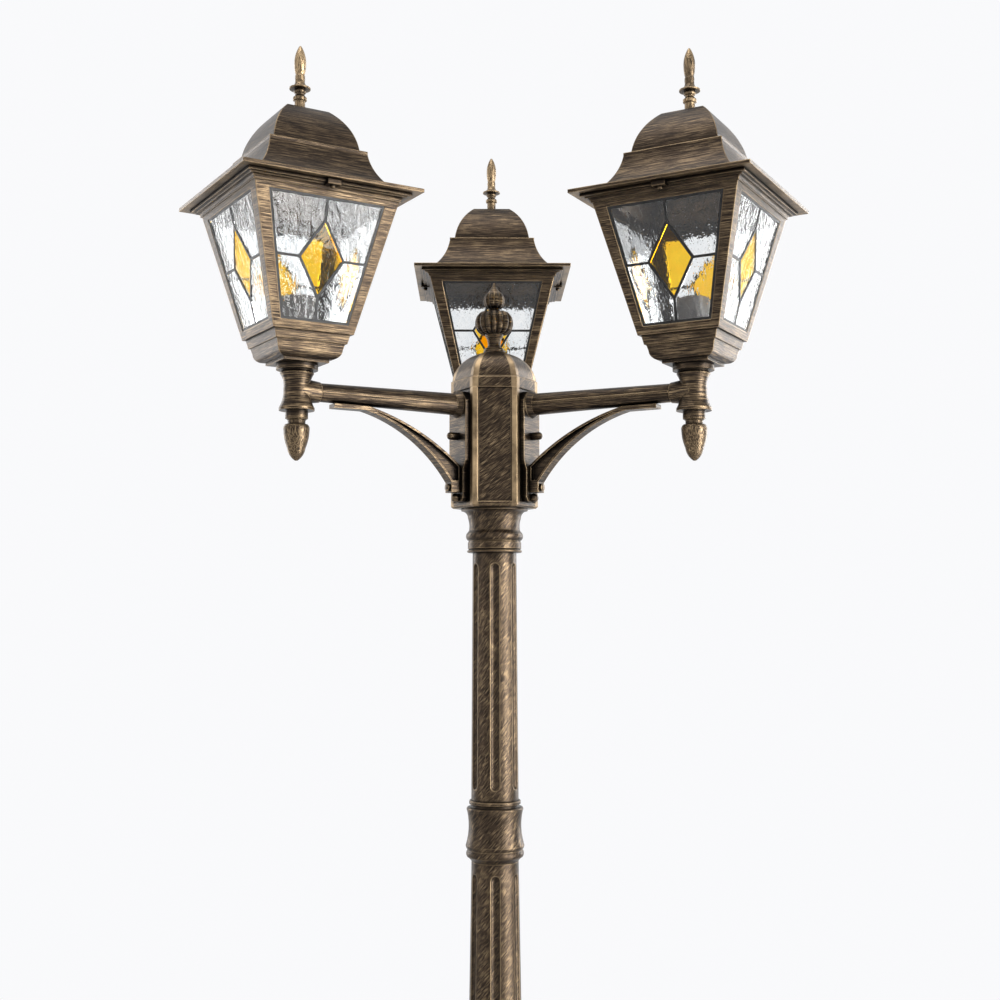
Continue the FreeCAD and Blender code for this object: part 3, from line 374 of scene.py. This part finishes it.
# Which finish each node has, with its head's name left off. What isn't named here is
# finished as the column is.
heads = ("left", "right", "rear")
finishOf = {
    "roof": "bronze_roof", "frame": "bronze_frame", "cup": "bronze_cup", "brace": "bronze_cup",
    "roof_finial": "bronze_finial", "acorn": "bronze_acorn", "arm": "bronze_arm",
    "spindle": "bronze_turned", "roof_screw_a": "bronze_turned", "roof_screw_b": "bronze_turned",
    "arm_bolts": "bronze_turned", "brace_screws": "bronze_turned",
    "hex_head": "bronze_head", "head_cap": "bronze_head",
    "clear_panes": "clear_glass", "amber_panes": "amber_glass", "lead_came": "lead",
    "lamp_holder": "holder_glaze", "screw_shells": "brass",
    "tie_rod": "zinc_steel", "rod_anchor_bar": "zinc_steel",
    "arm_nuts": "zinc_steel", "nipples": "zinc_steel",
}
for name, node in nodes.items():
    stem, head = name.rpartition("_")[::2]
    finish = finishOf.get(stem if head in heads else name, "bronze_column")
    for slot in node.material_slots:
        slot.link = "OBJECT"
        slot.material = materials[finish]
print("materials given to", len(nodes), "nodes")


# The ornament on top: a reeded ball under a lobed, pointed bud. Heights are from its foot.

ornament = {
    "ringSegments": 64,
    "profile": [  # radius and height of each step of the turned core
        (0.0110, 0.0), (0.0110, 0.0022), (0.0080, 0.0035), (0.0070, 0.0060), (0.0072, 0.0090),
        (0.0080, 0.0130), (0.0102, 0.0165), (0.0102, 0.0190), (0.0090, 0.0200), (0.0120, 0.0215),
        (0.0170, 0.0250), (0.0185, 0.0310), (0.0170, 0.0370), (0.0110, 0.0420), (0.0072, 0.0445),
        (0.0062, 0.0465), (0.0064, 0.0480), (0.0092, 0.0510), (0.0100, 0.0566), (0.0088, 0.0625),
        (0.0062, 0.0668), (0.0032, 0.0710), (0.0008, 0.0765)],
    "ball": {"count": 16, "radius": 0.0213, "height": 0.0128, "middle": 0.0312, "share": 0.44},
    "bud": {"count": 10, "radius": 0.0117, "height": 0.0095, "middle": 0.0566, "share": 0.48},
    "lobeSegments": 20,
    "lobeRings": 28,
    "lobeOverlap": 1.12,
    "smoothAngle": math.radians(40),
}


def activePiece():
    return bpy.context.view_layer.objects.active


def deselectAll():
    if bpy.context.mode != "OBJECT":
        bpy.ops.object.mode_set(mode="OBJECT")
    bpy.ops.object.select_all(action="DESELECT")


def joinAll(pieces, name):
    deselectAll()
    for piece in pieces:
        piece.select_set(True)
    bpy.context.view_layer.objects.active = pieces[0]
    bpy.ops.object.join()
    joined = activePiece()
    joined.name = name
    bpy.ops.object.transform_apply(location=True, rotation=True, scale=True)
    return joined


# The turned core: a cone for each step of the profile.
def ringStack(base, profile, segments):
    made = []
    for (lowRadius, low), (highRadius, high) in zip(profile, profile[1:]):
        deselectAll()
        bpy.ops.mesh.primitive_cone_add(
            vertices=segments, radius1=lowRadius, radius2=highRadius, depth=high - low,
            location=(0, 0, base + (low + high) / 2))
        made.append(activePiece())
    return made


# Upright ribs set round a ball like the segments of an orange, each a share of its radius.
def lobes(base, count, radius, height, middle, share):
    made = []
    wide = math.pi * radius / count * ornament["lobeOverlap"]
    out = radius * (1 - share)
    for step in range(count):
        turn = 2 * math.pi * step / count
        deselectAll()
        bpy.ops.mesh.primitive_uv_sphere_add(
            segments=ornament["lobeSegments"], ring_count=ornament["lobeRings"], radius=1.0)
        lobe = activePiece()
        lobe.scale = (radius * share, wide, height)
        lobe.rotation_euler = (0, 0, turn)
        lobe.location = (out * math.cos(turn), out * math.sin(turn), base + middle)
        made.append(lobe)
    return made


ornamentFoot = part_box("ornament")[0][2]
ornamentPieces = ringStack(ornamentFoot, ornament["profile"], ornament["ringSegments"])
ornamentPieces += lobes(ornamentFoot, **ornament["ball"])
ornamentPieces += lobes(ornamentFoot, **ornament["bud"])
reededOrnament = joinAll(ornamentPieces, "reeded_ornament")
bpy.ops.object.shade_smooth_by_angle(angle=ornament["smoothAngle"])
reededOrnament.data.materials.clear()
reededOrnament.data.materials.append(materials["bronze_turned"])
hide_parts("ornament")
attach(reededOrnament, "post")
print("ornament made")


# Floor, light and camera.

floor = {
    "size": 4.4,
    "gap": 0.0005,  # under the lowest point of the foot
    "color": (0.93, 0.93, 0.94, 1),
    "grain": {"Scale": 40.0, "Detail": 4.0},
    "roughness": (0.3, 0.7, 0.72, 0.86),
}

deselectAll()
floorHeight = cadBounds[0][2] - floor["gap"]
bpy.ops.mesh.primitive_plane_add(size=floor["size"], location=(0, 0, floorHeight))
studioFloor = activePiece()
studioFloor.name = "studio_floor"
floorMaterial, floorTree, floorShader = newMaterial("studio_floor")
floorShader.inputs["Base Color"].default_value = floor["color"]
floorGrain = noise(floorTree, (-700, 0), objectPlace(floorTree, (-900, 0)), floor["grain"])
floorRough = remap(floorTree, (-400, 0), floorGrain, *floor["roughness"])
feed(floorTree, floorShader.inputs["Roughness"], floorRough)
studioFloor.data.materials.append(floorMaterial)

# Seen straight, in metal or through glass, the world is the white backdrop. It lights
# the lamp post as a room does, dimmer overhead.
room = {
    "backdrop": (0.95, 0.953, 0.968, 1),
    "backdropStrength": 1.0,
    "color": (0.95, 0.96, 1.0, 1),
    "rise": (0.05, 0.75),  # how far up a ray points
    "strength": (0.35, 0.20),  # for level rays, and for steep ones
}

world = bpy.data.worlds.new("studio")
bpy.context.scene.world = world
world.use_nodes = True
worldTree = world.node_tree
worldTree.nodes.clear()
rays = addNode(worldTree, "ShaderNodeLightPath", (-800, 200))
seen = mathNode(worldTree, "MAXIMUM", (-600, 200), rays.outputs["Is Camera Ray"],
                rays.outputs["Is Transmission Ray"])
seen = mathNode(worldTree, "MAXIMUM", (-450, 300), seen, rays.outputs["Is Glossy Ray"])
direction = addNode(worldTree, "ShaderNodeTexCoord", (-1200, 0)).outputs["Generated"]
upwards = addNode(worldTree, "ShaderNodeSeparateXYZ", (-1000, 0), {0: direction}).outputs[2]
roomStrength = remap(worldTree, (-800, 0), upwards, *room["rise"], *room["strength"])
roomLight = addNode(worldTree, "ShaderNodeBackground", (-400, 0),
                    {"Color": room["color"], "Strength": roomStrength})
backdrop = addNode(worldTree, "ShaderNodeBackground", (-400, -200),
                   {"Color": room["backdrop"], "Strength": room["backdropStrength"]})
choice = addNode(worldTree, "ShaderNodeMixShader", (-200, 0),
                 {0: seen, 1: roomLight.outputs[0], 2: backdrop.outputs[0]})
addNode(worldTree, "ShaderNodeOutputWorld", (0, 0), {0: choice.outputs[0]})

headPlace = (0, 0, 1.95)
columnPlace = (0, 0, 1.5)

# place and target in metres, power in watts
softboxes = {
    "key_box": {"place": (2.3, -1.1, 1.5), "target": columnPlace,
                "width": 1.1, "height": 2.6, "power": 106},
    "fill_box": {"place": (-2.4, -1.0, 2.0), "target": headPlace,
                 "width": 0.6, "height": 2.4, "power": 9},
    "front_box": {"place": (2.3, -2.0, 2.4), "target": headPlace,
                  "width": 0.8, "height": 2.0, "power": 42},
    "top_box": {"place": (-0.4, -0.6, 4.4), "target": headPlace,
                "width": 1.6, "height": 1.6, "power": 30},
    "back_left_box": {"place": (-2.2, 1.8, 2.2), "target": headPlace,
                      "width": 0.8, "height": 2.2, "power": 24},
    "back_right_box": {"place": (2.2, 1.9, 2.2), "target": headPlace,
                       "width": 0.8, "height": 2.2, "power": 38},
}


def addSoftbox(name, place, target, width, height, power):
    deselectAll()
    bpy.ops.object.light_add(type="AREA", location=place)
    lamp = activePiece()
    lamp.name = name
    lamp.data.shape = "RECTANGLE"
    lamp.data.size = width
    lamp.data.size_y = height
    lamp.data.energy = power
    facing = Vector(target) - Vector(place)
    lamp.rotation_euler = facing.to_track_quat("-Z", "Y").to_euler()


for name, box in softboxes.items():
    addSoftbox(name, **box)

# fitted to the photograph, with its angles in radians
camera = {
    "place": (-0.0209, -1.5023, 1.6607),
    "lens": 49.11,
    "sensor": 36.0,
    "pitch": 0.0821,
    "roll": -0.0020,
    "yaw": -0.0180,
    "clipEnd": 100,
}

cameraData = bpy.data.cameras.new("camera")
cameraObject = bpy.data.objects.new("camera", cameraData)
bpy.context.scene.collection.objects.link(cameraObject)
bpy.context.scene.camera = cameraObject
cameraData.lens = camera["lens"]
cameraData.sensor_width = camera["sensor"]
cameraData.clip_end = camera["clipEnd"]
turn = (Matrix.Rotation(camera["yaw"], 3, "Z")
        @ Matrix.Rotation(math.pi / 2 + camera["pitch"], 3, "X")
        @ Matrix.Rotation(camera["roll"], 3, "Z"))
cameraObject.location = camera["place"]
cameraObject.rotation_euler = turn.to_euler()
bpy.context.scene.view_settings.view_transform = "Standard"
print("stage set")
